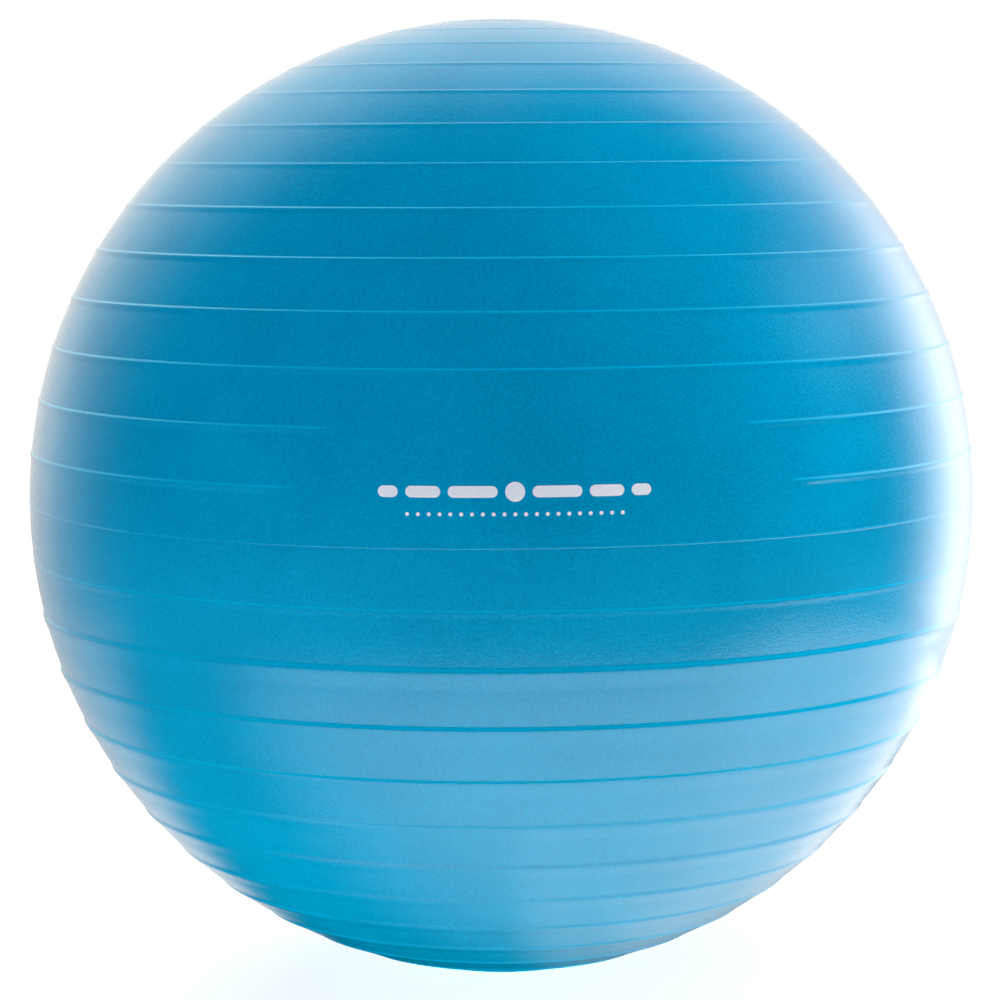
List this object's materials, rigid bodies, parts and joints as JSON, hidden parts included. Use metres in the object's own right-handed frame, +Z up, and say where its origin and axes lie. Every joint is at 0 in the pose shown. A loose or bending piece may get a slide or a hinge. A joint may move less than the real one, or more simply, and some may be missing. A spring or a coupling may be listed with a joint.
{
  "type": "exercise ball",
  "caption": "Inflatable ribbed exercise ball of soft PVC, standing on its own flattened underside, with a bonded valve seat and a pull-out valve plug at the top.",
  "frame": {"origin": "on the floor, at the middle of the flattened spot that the ball stands on", "axes": "+Z up through the valve, along the axis that the ribs go round; the print faces -Y"},
  "size_m": [0.6506, 0.6506, 0.6549],
  "materials": {
    "satin_pvc": "satin",
    "seat_pvc": "satin",
    "plug_plastic": "satin",
    "print_ink": "satin"
  },
  "bodies": {
    "ball": {"ball_skin": "satin_pvc", "valve_seat": "seat_pvc", "printed_mark": "print_ink"},
    "plug": {"valve_plug": "plug_plastic"}
  },
  "joints": [
    {"name": "plug_pull", "type": "slide", "parent": "ball", "child": "plug", "axis": [0, 0, 1], "range_m": [0, 0.035]}
  ]
}
